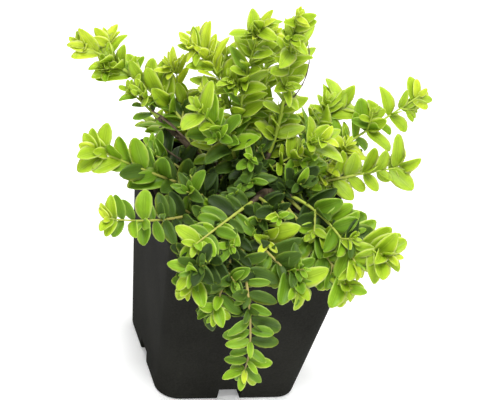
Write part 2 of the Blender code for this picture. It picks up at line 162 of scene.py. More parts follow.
def addPiece(name, points, faces, material, uv=None, smooth=True):
    # Puts an array of points and an array of quads or triangles into one mesh object.
    mesh = bpy.data.meshes.new(name)
    points = np.asarray(points, dtype=np.float32)
    faces = [np.asarray(part, dtype=np.int32) for part in (faces if isinstance(faces, list) else [faces])]
    counts = np.concatenate([np.full(len(part), part.shape[1]) for part in faces]).astype(np.int32)
    corners = np.concatenate([part.ravel() for part in faces])
    mesh.vertices.add(len(points))
    mesh.vertices.foreach_set("co", points.ravel())
    mesh.loops.add(len(corners))
    mesh.loops.foreach_set("vertex_index", corners)
    mesh.polygons.add(len(counts))
    mesh.polygons.foreach_set("loop_start", np.concatenate([[0], np.cumsum(counts)[:-1]]).astype(np.int32))
    mesh.polygons.foreach_set("loop_total", counts)
    mesh.polygons.foreach_set("use_smooth", np.full(len(counts), smooth))
    if uv is not None:
        layer = mesh.uv_layers.new(name="leafUV")
        layer.data.foreach_set("uv", np.asarray(uv, dtype=np.float32)[corners].ravel())
    mesh.update(calc_edges=True)
    mesh.validate()
    mesh.materials.append(material)
    piece = bpy.data.objects.new(name, mesh)
    bpy.context.scene.collection.objects.link(piece)
    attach(piece, "root")
    return piece


def gridFaces(rows, columns, wrap):
    # Quads between neighbouring points of a grid whose rows may close on themselves.
    last = columns if wrap else columns - 1
    i, j = np.meshgrid(np.arange(rows - 1), np.arange(last), indexing="ij")
    k = (j + 1) % columns
    return np.stack([i * columns + j, i * columns + k, (i + 1) * columns + k, (i + 1) * columns + j], axis=-1).reshape(-1, 4)


def capFaces(first, columns, centre, reverse):
    # Triangles from a ring of points to one centre point.
    j = np.arange(columns)
    ring = np.stack([first + j, first + (j + 1) % columns, np.full(columns, centre)], axis=-1)
    return ring[:, ::-1] if reverse else ring


# Material helpers

def addNode(tree, kind, **values):
    node = tree.nodes.new(kind)
    for key, value in values.items():
        if key in node.inputs:
            node.inputs[key].default_value = value
        else:
            setattr(node, key, value)
    return node


def addRamp(tree, factor, stops):
    ramp = tree.nodes.new("ShaderNodeValToRGB")
    elements = ramp.color_ramp.elements
    while len(elements) < len(stops):
        elements.new(0.5)
    for element, (position, colour) in zip(elements, stops):
        element.position = position
        element.color = (*colour, 1)
    tree.links.new(factor, ramp.inputs["Fac"])
    return ramp.outputs["Color"]


def addBump(tree, shader, height, strength, distance):
    bump = tree.nodes.new("ShaderNodeBump")
    bump.inputs["Strength"].default_value = strength
    bump.inputs["Distance"].default_value = distance
    tree.links.new(height, bump.inputs["Height"])
    tree.links.new(bump.outputs["Normal"], shader.inputs["Normal"])


def objectNoise(tree, scale, detail=4, roughness=0.55, stretch=None):
    # Noise on the piece's own coordinates, with an optional stretch along each axis.
    coordinates = tree.nodes.new("ShaderNodeTexCoord")
    noise = addNode(tree, "ShaderNodeTexNoise", Scale=scale, Detail=detail, Roughness=roughness)
    source = coordinates.outputs["Object"]
    if stretch:
        mapping = tree.nodes.new("ShaderNodeMapping")
        mapping.inputs["Scale"].default_value = stretch
        tree.links.new(source, mapping.inputs["Vector"])
        source = mapping.outputs["Vector"]
    tree.links.new(source, noise.inputs["Vector"])
    return noise.outputs["Fac"]


def mathNode(tree, operation, first, second=None):
    node = addNode(tree, "ShaderNodeMath", operation=operation)
    for socket, value in zip(node.inputs, (first, second)):
        if hasattr(value, "links"):
            tree.links.new(value, socket)
        elif value is not None:
            socket.default_value = value
    return node.outputs[0]


# Pot: a rounded square outline carried along the wall's profile, its foot pushed in at the four drainage notches.

potSettings = {
    "height": 92,
    "rimSide": 88.4,
    "baseSide": 66,
    "cornerRadius": 10,
    "wall": 1.4,
    "lipHeight": 3,
    "lipOut": 0.8,
    "footRadius": 0.9,
    "notchWidth": 11,
    "notchHeight": 6,
    "notchDepth": 11,
    "cornerPoints": 12,
    "sidePoints": 6,
    "colour": (0.017, 0.0165, 0.0165),
    "roughness": 0.8,
}


def potHalf(z):
    # Half the pot's outer width, which grows evenly from foot to rim.
    spec = potSettings
    return (spec["baseSide"] + (spec["rimSide"] - spec["baseSide"]) * z / spec["height"]) / 2


def squareOutline(half, radius, cornerPoints, breaks):
    # Points round a square with rounded corners. Each side has points at the same shares, with extra ones at breaks.
    turns = np.linspace(0, math.pi / 2, cornerPoints + 1)
    corner = np.stack([half - radius + radius * np.cos(turns), half - radius + radius * np.sin(turns)], axis=1)
    breaks = np.array(breaks)
    outer = np.linspace(half - radius, breaks[-1], potSettings["sidePoints"])[1:-1]
    inner = np.concatenate([outer, breaks[::-1], breaks[0] * np.array([0.5, 0, -0.5]), -breaks, -outer[::-1]])
    side = np.stack([inner, np.full(len(inner), half)], axis=1)
    quarter = np.concatenate([corner, side])
    points = []
    for k in range(4):
        cos, sin = round(math.cos(k * math.pi / 2)), round(math.sin(k * math.pi / 2))
        points.append(quarter @ np.array([[cos, sin], [-sin, cos]]))
    return np.concatenate(points)


def potRing(z, inset, notchGrow, radius, edge):
    # One ring of the pot at height z. Where it lies in a notch, its points move in to the back of the pocket.
    spec = potSettings
    half = potHalf(z) - inset
    breaks = (spec["notchWidth"] / 2 - 0.01, spec["notchWidth"] / 2, spec["notchWidth"] / 2 + spec["wall"],
              spec["notchWidth"] / 2 + spec["wall"] + 0.01)
    ring = squareOutline(half, max(radius, 0.3), spec["cornerPoints"], breaks)
    if edge:
        back = potHalf(0) - spec["notchDepth"] - notchGrow
        width = spec["notchWidth"] / 2 + notchGrow - 0.005
        for axis in (0, 1):
            other = 1 - axis
            inNotch = (np.abs(ring[:, axis]) > half - 0.01) & (np.abs(ring[:, other]) < width)
            ring[inNotch, axis] = np.sign(ring[inNotch, axis]) * min(back, half)
    return np.column_stack([ring, np.full(len(ring), z)])


def potRings():
    # The profile as rings: underside, outer foot, outer wall, lip, rim, inner wall and inner floor.
    spec = potSettings
    height, wall, corner = spec["height"], spec["wall"], spec["cornerRadius"]
    foot, notch = spec["footRadius"], spec["notchHeight"]
    rings = [potRing(0, inset, 0, corner, inset < spec["notchDepth"]) for inset in (12, foot)]
    for turn in np.linspace(0, math.pi / 2, 5)[1:]:
        rings.append(potRing(foot * (1 - math.cos(turn)), foot * (1 - math.sin(turn)), 0, corner, True))
    rings += [potRing(z, 0, 0, corner, True) for z in (3, notch - 0.01)]
    rings += [potRing(z, 0, 0, corner, False) for z in np.linspace(notch, height - spec["lipHeight"], 14)]
    lip = spec["lipOut"]
    for turn in np.linspace(0, math.pi / 2, 4):
        z = height - spec["lipHeight"] + 0.4 * (1 - math.cos(turn))
        rings.append(potRing(z, -lip * math.sin(turn), 0, corner + lip, False))
    for turn in np.linspace(0, math.pi, 9):
        across = (lip + wall) / 2
        rings.append(potRing(height - 0.5 + 0.5 * math.sin(turn), wall - across - across * math.cos(turn), 0,
                             corner - (wall - across - across * math.cos(turn)), False))
    inner = corner - wall
    rings += [potRing(z, wall, wall, inner, False) for z in np.linspace(height - 1, notch + wall, 8)]
    rings += [potRing(z, wall, wall, inner, True) for z in (notch + wall - 0.01, wall)]
    rings.append(potRing(wall, 13, wall, corner, False))
    return np.array(rings) * mm


def potPlastic():
    spec = potSettings
    material, tree, shader = newMaterial("potPlastic", spec["colour"], spec["roughness"])
    shader.inputs["Specular IOR Level"].default_value = 0.02
    cloud = mathNode(tree, "ADD", mathNode(tree, "MULTIPLY", objectNoise(tree, 30, 5), 0.6),
                     mathNode(tree, "MULTIPLY", objectNoise(tree, 1100, 2), 0.4))
    tree.links.new(addRamp(tree, cloud, [(0.3, (0.0105, 0.0105, 0.009)), (0.7, (0.022, 0.022, 0.019))]),
                   shader.inputs["Base Color"])
    grain = objectNoise(tree, 1400, 2)
    addBump(tree, shader, grain, 0.25, 0.00025)
    return material


def makePot():
    rings = potRings()
    rows, columns = rings.shape[:2]
    points = np.concatenate([rings.reshape(-1, 3), [[0, 0, 0], [0, 0, potSettings["wall"] * mm]]])
    count = rows * columns
    faces = [gridFaces(rows, columns, True), capFaces(0, columns, count, True),
             capFaces(count - columns, columns, count + 1, False)]
    pot = addPiece("nurseryPot", points, faces, potPlastic())
    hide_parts("pot")
    bevel = pot.modifiers.new("crispEdges", "EDGE_SPLIT")
    bevel.split_angle = math.radians(40)


makePot()
print("pot made")


# Compost: a block with a crumbly top, and loose crumbs on it.

compostSettings = {
    "top": 82,
    "relief": 0.9,
    "rings": 46,
    "crumbs": 520,
    "crumbSize": (0.5, 1.7),
    "dark": (0.010, 0.006, 0.004),
    "light": (0.075, 0.045, 0.027),
    "seed": 11,
}


def waves(points, scale, seed, count=10):
    # A smooth random surface: a sum of sine waves in random directions, at most 1 high.
    source = np.random.default_rng(seed)
    ways = source.normal(size=(count, points.shape[-1]))
    ways /= np.linalg.norm(ways, axis=1, keepdims=True)
    speeds = source.uniform(0.6, 1.8, count) / scale
    phases = source.uniform(0, 2 * math.pi, count)
    return np.sin(points @ (ways * speeds[:, None]).T * 2 * math.pi + phases).mean(axis=-1) * 2


def compostMaterial():
    spec = compostSettings
    material, tree, shader = newMaterial("compost", spec["dark"], 0.95)
    fibres = objectNoise(tree, 420, 8, 0.7)
    tree.links.new(addRamp(tree, fibres, [(0.35, spec["dark"]), (0.72, spec["light"])]), shader.inputs["Base Color"])
    addBump(tree, shader, fibres, 0.9, 0.0008)
    return material


def makeCompost():
    spec = compostSettings
    material = compostMaterial()
    inset = potSettings["wall"] + 0.3
    half = potHalf(spec["top"]) - inset
    shares = np.linspace(0.02, 1, spec["rings"])
    outline = squareOutline(half, potSettings["cornerRadius"] - inset, potSettings["cornerPoints"], (3, 6, 9, 12))
    top = shares[:, None, None] * outline[None] * mm
    height = spec["top"] + spec["relief"] * (waves(top, 0.006, 1) + 0.5 * waves(top, 0.002, 2)) * np.minimum(1, 6 * (1 - shares))[:, None]
    rings = list(np.concatenate([top, height[..., None] * mm], axis=-1))
    for z in (70, 45, 20, potSettings["notchHeight"] + inset):
        lower = squareOutline(potHalf(z) - inset, potSettings["cornerRadius"] - inset, potSettings["cornerPoints"], (3, 6, 9, 12))
        rings.append(np.column_stack([lower * mm, np.full(len(lower), z * mm)]))
    rings = np.array(rings)
    rows, columns = rings.shape[:2]
    points = np.concatenate([rings.reshape(-1, 3), [[0, 0, rings[0, :, 2].mean()], [0, 0, rings[-1, 0, 2]]]])
    faces = [gridFaces(rows, columns, True)[:, ::-1], capFaces(0, columns, rows * columns, False),
             capFaces((rows - 1) * columns, columns, rows * columns + 1, True)]
    compost = addPiece("compost", points, faces, material)
    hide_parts("soil")

    # Crumbs are lumpy spheres of four rings and six columns, closed at the poles, with their middles 0.2 mm above the
    # compost's top height.
    source = np.random.default_rng(spec["seed"])
    count = spec["crumbs"]
    polar, turn = np.meshgrid(np.linspace(0.35, math.pi - 0.35, 4), np.linspace(0, 2 * math.pi, 7)[:-1], indexing="ij")
    ball = np.stack([np.sin(polar) * np.cos(turn), np.sin(polar) * np.sin(turn), np.cos(polar)], axis=-1).reshape(-1, 3)
    ball = np.concatenate([ball, [[0, 0, 1], [0, 0, -1]]])
    quads = gridFaces(4, 6, True)[:, ::-1]
    caps = np.concatenate([capFaces(0, 6, 24, False), capFaces(18, 6, 25, True)])
    size = source.uniform(*spec["crumbSize"], (count, 1, 1)) * source.uniform(0.5, 1.1, (count, 1, 3))
    lump = 1 + 0.3 * source.uniform(-1, 1, (count, len(ball), 1))
    place = source.uniform(-1, 1, (count, 1, 2)) * (half - 1.5)
    lift = np.full((count, 1, 1), spec["top"] + 0.2)
    crumbs = (ball * size * lump + np.concatenate([place, lift], axis=-1)) * mm
    shift = np.arange(count)[:, None, None] * len(ball)
    addPiece("compostCrumbs", crumbs.reshape(-1, 3), [(quads + shift).reshape(-1, 4), (caps + shift).reshape(-1, 3)], material)


makeCompost()
print("compost made")


# Shoots, as in the source: heading, launch and finish say where a shoot points on the plan and its rise at its two
# ends, turn is its swing, at is where it starts along its parent or over the compost, and wood is its bare length.

shootTable = {
    "back_left": {"parent": "stem", "at": 6, "heading": 143, "turn": 5, "launch": 29, "finish": 30,
        "length": 73, "wood": 54, "side": 0, "face": 45, "leaf": 0.75},
    "back_left_over": {"parent": "back_left", "at": 26, "heading": 127, "turn": 24, "launch": 52,
        "finish": -1, "length": 65, "side": 17, "face": 45, "spread": 0.65, "leaf": 1.1},
    "back_left_tip": {"parent": "back_left_over", "at": 50, "heading": 150, "turn": 4, "launch": 30,
        "finish": 4, "length": 30, "face": 45},
    "back_left_upright": {"parent": "back_left", "at": 34, "heading": 105, "turn": 2, "launch": 30,
        "finish": 75, "length": 40, "fan": 90},
    "back_left_under": {"parent": "back_left", "at": 20, "heading": 112, "launch": 8, "finish": -20,
        "length": 46},
    "upper_left": {"parent": "stem", "at": 8, "heading": 193, "turn": -7, "launch": 74, "finish": 41,
        "length": 62, "wood": 16, "fan": 80, "leaf": 1.1},
    "inner_left": {"parent": "back_left", "at": 11, "heading": 172, "launch": 62, "finish": 70,
        "length": 27},
    "left_upper": {"parent": "stem", "at": 4, "heading": 187, "turn": -18, "launch": 22, "finish": 20,
        "length": 80, "wood": 26, "face": 35, "side": 12, "leaf": 1.2},
    "left_inner": {"parent": "left_upper", "at": 16, "heading": 141, "launch": 22, "finish": 12,
        "length": 36, "leaf": 1.15},
    "left_level": {"parent": "left_upper", "at": 10, "heading": 229, "turn": -38, "launch": 10,
        "finish": 15, "length": 76, "wood": 18, "face": 30, "side": 8, "spread": 1.15, "leaf": 1.3},
    "leader": {"parent": "stem", "at": 13, "heading": 12, "turn": 62, "launch": 46, "finish": 117,
        "length": 104, "wood": 20, "curl": 0.5, "fan": 90},
    "inner_right": {"parent": "leader", "at": 10, "heading": 62, "launch": 40, "finish": 55, "length": 30},
    "upper_middle": {"parent": "stem", "at": 9, "heading": 130, "launch": 52, "finish": 99, "length": 86,
        "wood": 24, "curl": 0.5, "fan": 90, "leaf": 1.2},
    "inner_middle": {"parent": "upper_middle", "at": 14, "heading": 262, "launch": 38, "finish": 50,
        "length": 28},
    "inner_low_left": {"parent": "left_level", "at": 12, "heading": 212, "launch": 48, "finish": 26,
        "length": 27},
    "upper_back": {"parent": "upper_middle", "at": 16, "heading": 145, "turn": -17, "launch": 80,
        "finish": 32, "length": 65, "fan": 70, "side": 20, "spread": 0.85},
    "upper_right_back": {"parent": "leader", "at": 16, "heading": 88, "turn": 4, "launch": 27,
        "finish": 94, "length": 61, "fan": 80},
    "right_long": {"parent": "stem", "at": 3, "heading": 10, "turn": -2, "launch": 31, "finish": 33,
        "length": 95, "wood": 34, "face": 35, "spread": 1.1, "leaf": 1.2},
    "right_rosette": {"parent": "right_long", "at": 18, "heading": 312, "launch": 72, "finish": 57,
        "length": 39, "fan": 80, "leaf": 1.15},
    "right_upright": {"parent": "right_long", "at": 24, "heading": 50, "turn": -20, "launch": 55,
        "finish": 20, "length": 45, "fan": 80},
    "right_level": {"parent": "stem", "at": 7, "heading": 348, "turn": 1, "launch": 26, "finish": 19,
        "length": 74, "wood": 24, "face": 30, "leaf": 1.1},
    "right_lower": {"parent": "right_level", "at": 20, "heading": 11, "turn": -4, "launch": 54,
        "finish": 7, "length": 34},
    "inner_low_right": {"parent": "right_level", "at": 14, "heading": 282, "launch": 50, "finish": 36,
        "length": 26},
    "right_inner": {"parent": "leader", "at": 8, "heading": 338, "turn": 4, "launch": 45, "finish": 47,
        "length": 23},
    "front_right": {"parent": "stem", "at": 8, "heading": 298, "turn": 3, "launch": 52, "finish": -42,
        "length": 80, "wood": 32, "leaf": 1.1},
    "right_corner": {"parent": "front_right", "at": 28, "heading": 305, "turn": 7, "launch": -20,
        "finish": 19, "length": 59, "side": 14, "leaf": 1.15},
    "front_right_low": {"parent": "front_right", "at": 20, "heading": 286, "turn": 23, "launch": 1,
        "finish": -35, "length": 61, "leaf": 1.1},
    "across": {"parent": "front_right", "at": 16, "heading": 230, "turn": -8, "launch": 13, "finish": -3,
        "length": 67, "wood": 17, "side": 8},
    "inner_front": {"parent": "across", "at": 10, "heading": 272, "launch": 25, "finish": 10, "length": 30},
    "front_hanging": {"parent": "stem", "at": 4, "heading": 239, "turn": 59, "launch": 36, "finish": -105,
        "length": 114, "wood": 48, "curl": 1.2, "side": 8},
    "front_left_low": {"parent": "front_hanging", "at": 22, "heading": 246, "turn": -24, "launch": 20,
        "finish": -36, "length": 61},
    "front_left_hanging": {"parent": "front_hanging", "at": 34, "heading": 252, "turn": -14, "launch": 8,
        "finish": -70, "length": 51},
    "front_left_corner": {"parent": "left_level", "at": 8, "heading": 255, "turn": -20, "launch": 14,
        "finish": -2, "length": 68},
    "front_low": {"parent": "front_hanging", "at": 38, "heading": 298, "turn": 14, "launch": -4,
        "finish": -24, "length": 41},
    "front_middle": {"parent": "front_hanging", "at": 11, "heading": 287, "launch": 20, "finish": 1,
        "length": 39, "leaf": 1.1},
    "back_right": {"parent": "stem", "at": 10, "heading": 38, "launch": 30, "finish": 8, "length": 62,
        "wood": 20},
    "back_right_low": {"parent": "back_right", "at": 12, "heading": 4, "turn": 44, "launch": 14,
        "finish": -32, "length": 58},
    "back": {"parent": "stem", "at": 7, "heading": 67, "launch": 28, "finish": -25, "length": 74,
        "wood": 22},
    "back_low": {"parent": "stem", "at": 4, "heading": 104, "launch": 38, "finish": -40, "length": 76,
        "wood": 22},
}

shootDefaults = {"turn": 0, "wood": 0, "curl": 1, "fan": 25, "face": 62, "side": 17, "spread": 1, "leaf": 1,
                 "lane": 0, "tone": 0, "tip": 0.4, "broad": 1, "below": 1, "lift": (0, 22),
                 "angle": 66, "girth": 1, "first": 0, "tipLeaf": 1, "tipFan": 75,
                 "spurs": 1, "blunt": (0.2, 1), "bare": 0, "tipAngle": 1, "fade": 0}


# How a shoot's leaves look on the dressed plant. Tone makes them lighter or darker than their place in the crown would;
# it is partly the leaves' own colour and partly painted light and shade for how brightly each shoot is lit. Tip turns
# their blades to the shoot's tip, broad widens them, below shrinks those on the lower side, lift is the range of
# degrees they are tipped up by, and lane is the space in mm that other shoots' leaves leave over its stem.
shootLooks = {
    "back_right_low": {"tone": 0.9},
    "back": {"tone": 0.8},
    "inner_right": {"tone": 0.9, "tipFan": 25},
    "leader": {"fan": 50, "leaf": 1.18, "tone": 0.6, "angle": 56, "lane": 1.8, "girth": 1.25, "tipLeaf": 0.68, "spread": 1.1, "broad": 0.9, "face": 45, "blunt": (0, 0.3), "first": 5},
    "upper_middle": {"fan": 55, "leaf": 1.15, "spread": 1, "tone": 0.5, "angle": 54, "girth": 1.2, "tipLeaf": 1.2, "face": 45, "blunt": (0, 0.4), "broad": 0.9, "length": 89},
    "upper_back": {"fan": 50, "leaf": 1.15, "tone": 1.2, "angle": 56, "tipLeaf": 0.8, "face": 45, "blunt": (0, 0.3), "broad": 0.85},
    "upper_right_back": {"fan": 55, "leaf": 1.1, "tone": 1.5, "angle": 56, "face": 45, "blunt": (0, 0.4)},
    "across": {"lane": 2.2, "tone": -0.16, "tip": 0.15, "spread": 1.1, "lift": (-16, 2), "angle": 84, "spurs": 0.1, "bare": 8},
    "back_left": {"tone": -0.2, "spurs": 0.15, "leaf": 0.75},
    "back_left_tip": {"tone": 0.85, "tip": 0.2, "angle": 48, "tipFan": 40, "face": 40, "lift": (8, 34), "blunt": (0, 0.5)},
    "back_left_over": {"tone": 0.32, "leaf": 1.15, "fan": 40, "tip": 0.2, "angle": 46, "face": 40, "lift": (12, 42), "spread": 0.9, "first": 10, "fade": 0.7},
    "back_left_upright": {"tone": 2.8, "fan": 20, "angle": 46, "face": 50, "tip": -0.2, "lift": (0, 10), "spread": 1.3, "broad": 0.75, "blunt": (0, 0.2)},
    "back_left_under": {"tone": 0, "side": 0, "fade": 0.5},
    "upper_left": {"tone": -0.05, "angle": 56},
    "inner_left": {"tone": 0.6, "tipFan": 25},
    "left_inner": {"tone": -0.38},
    "left_upper": {"tone": -0.14, "leaf": 1.2, "tip": 0.1, "broad": 1.15, "spread": 1.2, "below": 0.85, "angle": 44, "length": 79, "tipLeaf": 1.05, "lift": (4, 28), "fan": 25, "tipFan": 20, "face": 38, "blunt": (0.6, 1), "side": 0, "tipAngle": 1.4},
    "left_level": {"tone": -0.32, "leaf": 1, "spread": 1.25, "tip": 0.1, "broad": 1.1, "below": 0.8, "angle": 86, "tipFan": 20, "face": 38, "blunt": (0.5, 1), "length": 80},
    "inner_low_left": {"tone": -0.5, "tipFan": 25},
    "right_long": {"leaf": 1.15, "tip": 0, "tone": 0.12, "spread": 1.4, "below": 0.75, "angle": 80, "tipFan": 25, "face": 40, "blunt": (0.7, 1), "finish": 38},
    "right_rosette": {"tone": 0.28, "leaf": 1.25, "angle": 56, "blunt": (0, 0.5)},
    "right_upright": {"tone": 0.5, "angle": 56, "blunt": (0, 0.5), "leaf": 1.25, "spread": 1.2, "fan": 50},
    "right_lower": {"tone": 1.6},
    "right_level": {"tone": 0.3, "leaf": 1.2, "broad": 1.1, "spread": 1.2, "tip": 0.2, "tipFan": 40, "below": 0.7, "blunt": (0.5, 1), "angle": 70, "side": 8},
    "right_inner": {"tone": 0.5, "tipFan": 25},
    "inner_low_right": {"tone": -0.85, "tipFan": 25},
    "inner_middle": {"tone": -0.3, "tipFan": 25, "tipLeaf": 0.8},
    "inner_front": {"tone": -0.54, "leaf": 0.8, "spread": 1.2, "tipFan": 25},
    "front_right": {"tone": -0.42, "spread": 1.1, "first": 6, "leaf": 1.2, "spurs": 0.15, "broad": 1.1, "blunt": (0.3, 0.8), "fade": 0.8},
    "right_corner": {"tone": -0.12, "tip": 0.2, "spread": 0.9, "leaf": 1.3, "first": 8, "tipLeaf": 0.9, "spurs": 0.1, "broad": 1.1, "blunt": (0.3, 0.8)},
    "front_right_low": {"tone": -0.02, "leaf": 1.2, "spurs": 0.15, "broad": 1.1},
    "front_hanging": {"tone": -0.5, "tip": 0.2, "spread": 1.05, "angle": 88, "lift": (-4, 14), "leaf": 1.05, "broad": 0.9, "blunt": (0.2, 0.7), "tipLeaf": 1.1},
    "front_middle": {"tone": 0.35, "leaf": 1.4, "spread": 0.8, "face": 45, "heading": 272},
    "front_low": {"tone": -0.32, "leaf": 1.15, "fan": 50},
    "front_left_corner": {"tone": -0.95},
    "front_left_low": {"tone": -0.4},
    "front_left_hanging": {"tone": -0.65},
    "back_right": {"tone": 1},
}


def shootLine(start, heading, turn, launch, finish, length, curl=1):
    # Points every half millimetre along a curve whose heading swings by turn and whose rise goes from launch to finish.
    steps = max(8, int(length * 2))
    share = (np.arange(steps) + 0.5) / steps
    rise = np.radians(launch + (finish - launch) * share ** curl)
    swing = np.radians(heading + turn * share)
    ways = np.stack([np.cos(swing) * np.cos(rise), np.sin(swing) * np.cos(rise), np.sin(rise)], axis=1)
    return np.concatenate([[start], start + np.cumsum(ways, axis=0) * length / steps])


def alongLine(line, distance):
    # Points and directions at distances in mm along a line that has a point every step.
    step = np.linalg.norm(line[1] - line[0])
    place = np.clip(np.atleast_1d(distance) / step, 0, len(line) - 1.001)
    i = place.astype(int)
    ways = line[i + 1] - line[i]
    return line[i] + ways * (place - i)[:, None], ways / np.linalg.norm(ways, axis=1, keepdims=True)


def growShoots():
    shoots = {}
    for name, given in shootTable.items():
        shoot = {**shootDefaults, **given, **shootLooks.get(name, {}), "name": name}
        if shoot["parent"] == "stem":
            start = np.array([0, 0, compostSettings["top"] + shoot["at"]], dtype=float)
        else:
            start = alongLine(shoots[shoot["parent"]]["line"], shoot["at"])[0][0]
        shoot["line"] = shootLine(start, *(shoot[key] for key in ("heading", "turn", "launch", "finish", "length", "curl")))
        shoots[name] = shoot
    return shoots


shoots = growShoots()
print("shoots laid out:", len(shoots))


def tube(line, radii, sides, sideways, relief=None):
    # A closed tube: a ring of points round each point of the line, at its radius, with a pole at each end.
    ways = np.gradient(line, axis=0)
    ways /= np.linalg.norm(ways, axis=1, keepdims=True)
    across = sideways - ways * (ways @ sideways)[:, None]
    across /= np.linalg.norm(across, axis=1, keepdims=True)
    up = np.cross(ways, across)
    turn = np.linspace(0, 2 * math.pi, sides + 1)[:-1]
    scale = radii[:, None] * (1 if relief is None else relief)
    rings = line[:, None] + (across[:, None] * np.cos(turn)[None, :, None] + up[:, None] * np.sin(turn)[None, :, None]) * scale[..., None]
    rows = len(line)
    poles = np.stack([line[0] - ways[0] * radii[0] * 0.4, line[-1] + ways[-1] * radii[-1] * 0.6])
    points = np.concatenate([rings.reshape(-1, 3), poles])
    quads = gridFaces(rows, sides, True)
    caps = np.concatenate([capFaces(0, sides, rows * sides, True), capFaces((rows - 1) * sides, sides, rows * sides + 1, False)])
    return points, quads, caps


def joinShapes(shapes):
    # Joins (points, quads, triangles) into one set of arrays.
    shift = 0
    points, quads, caps = [], [], []
    for shapePoints, shapeQuads, shapeCaps in shapes:
        points.append(shapePoints)
        quads.append(shapeQuads + shift)
        caps.append(shapeCaps + shift)
        shift += len(shapePoints)
    return np.concatenate(points), [np.concatenate(quads), np.concatenate(caps)]


def sidewaysOf(heading):
    turn = math.radians(heading)
    return np.array([math.sin(turn), -math.cos(turn), 0.0])


# Bark: the stem and the bare boughs, with lengthwise ridges, swollen joints and stubs of old twigs.

barkSettings = {
    "stemProfile": ((0, 7.2), (0.7, 6.2), (1.5, 5.6), (4, 4.3), (9, 3.7), (13.5, 3.0), (14.5, 1.6)),
    "boughRadius": 1.5,
    "tipRadius": 1.1,
    "ridge": 0.11,
    "joint": 0.28,
    "jointEvery": 8.5,
    "stubLength": (1.2, 3.2),
    "stubRadius": 0.42,
    "bareTwigs": (
        {"parent": "leader", "at": 44, "heading": 343, "turn": 0, "launch": 52, "finish": 110, "length": 36, "radius": 0.34},
        {"parent": "back_left", "at": 14, "heading": 120, "turn": 14, "launch": 46, "finish": 22, "length": 30, "radius": 0.6},
        {"parent": "back_left", "at": 20, "heading": 172, "turn": -14, "launch": 4, "finish": 34, "length": 26, "radius": 0.55},
        {"parent": "back_left", "at": 27, "heading": 166, "turn": -16, "launch": 52, "finish": 24, "length": 28, "radius": 0.5},
        {"parent": "back_left", "at": 33, "heading": 128, "turn": 16, "launch": 8, "finish": 32, "length": 24, "radius": 0.5},
        {"parent": "back_left", "at": 38, "heading": 158, "turn": -6, "launch": 60, "finish": 10, "length": 22, "radius": 0.45},
    ),
    "dark": (0.035, 0.023, 0.013),
    "light": (0.20, 0.145, 0.085),
    "seed": 5,
}


def barkMaterial():
    spec = barkSettings
    material, tree, shader = newMaterial("bark", spec["light"], 0.8)
    patches = objectNoise(tree, 260, 6, 0.65)
    tree.links.new(addRamp(tree, patches, [(0.3, spec["dark"]), (0.55, (0.10, 0.070, 0.040)), (0.78, spec["light"])]),
                   shader.inputs["Base Color"])
    flakes = objectNoise(tree, 900, 5, 0.6)
    addBump(tree, shader, flakes, 0.6, 0.0003)
    return material


def makeBark():
    spec = barkSettings
    source = np.random.default_rng(spec["seed"])
    heights, widths = np.array(spec["stemProfile"]).T
    steps = np.linspace(0, heights[-1], 60)
    line = np.stack([np.zeros(60), np.zeros(60), compostSettings["top"] + 0.1 + steps], axis=1)
    turn = np.linspace(0, 2 * math.pi, 29)[:-1]
    flare = np.exp(-steps / 2.5)[:, None] * (0.16 * np.sin(5 * turn) + 0.08 * np.sin(9 * turn + 1))
    ridges = spec["ridge"] * np.sin(11 * turn + 0.5 * np.sin(steps[:, None] / 2)) * 0.6
    shapes = [tube(line, np.interp(steps, heights, widths), 28, np.array([1.0, 0, 0]), 1 + flare + ridges)]
    for name, shoot in shoots.items():
        if not shoot["wood"]:
            continue
        distances = np.arange(0, shoot["wood"] + 0.35, 0.35)
        line = alongLine(shoot["line"], distances)[0]
        share = distances / shoot["wood"]
        turn = np.linspace(0, 2 * math.pi, 15)[:-1]
        phase = source.uniform(0, 6.28, 4)
        ridges = spec["ridge"] * (np.sin(3 * turn[None] + phase[0] + distances[:, None] / 3)
                                  + 0.7 * np.sin(5 * turn[None] + phase[1] - distances[:, None] / 2)) * 0.5
        joint = spec["joint"] * np.exp(-(((distances + 2) % spec["jointEvery"]) - 4) ** 2 / 0.9)[:, None]
        radii = spec["boughRadius"] + (spec["tipRadius"] - spec["boughRadius"]) * share
        shapes.append(tube(line, radii, 14, sidewaysOf(shoot["heading"] + shoot["turn"] / 2), 1 + ridges + joint))
        for distance in np.arange(6.5, shoot["wood"] - 2, spec["jointEvery"]):
            for flip in (1, -1):
                root, way = (value[0] for value in alongLine(shoot["line"], distance + source.uniform(-0.5, 0.5)))
                across = sidewaysOf(shoot["heading"]) * flip + source.normal(0, 0.5, 3)
                out = across - way * (across @ way)
                out = out / np.linalg.norm(out) + way * 0.6
                length = source.uniform(*spec["stubLength"])
                stub = root + np.outer(np.linspace(0.3, length + 1.2, 5), out / np.linalg.norm(out))
                if stub[:, 2].min() > compostSettings["top"] + 1:
                    shapes.append(tube(stub, np.linspace(1, 0.7, 5) * spec["stubRadius"], 7, way))
    # Dead twigs stand bare beside the leader and the back left bough. They swell at their buds, every 6 mm.
    for twig in spec["bareTwigs"]:
        start = alongLine(shoots[twig["parent"]]["line"], twig["at"])[0][0]
        line = shootLine(start, *(twig[key] for key in ("heading", "turn", "launch", "finish", "length")))[::2]
        buds = 1 + 0.5 * np.exp(-(np.arange(len(line)) % 6 - 3) ** 2 / 0.5)
        radii = np.linspace(1, 0.6, len(line)) * twig["radius"] * buds
        shapes.append(tube(line, radii, 7, sidewaysOf(twig["heading"])))
    points, faces = joinShapes(shapes)
    bark = addPiece("barkedLimbs", points * mm, faces, barkMaterial())
    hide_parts("stem", *("bough_" + name for name, shoot in shoots.items() if shoot["wood"]))


makeBark()
print("bark made")


# Leaves and green twigs, grown along each shoot by the source's rule and carried on to finer twigs.

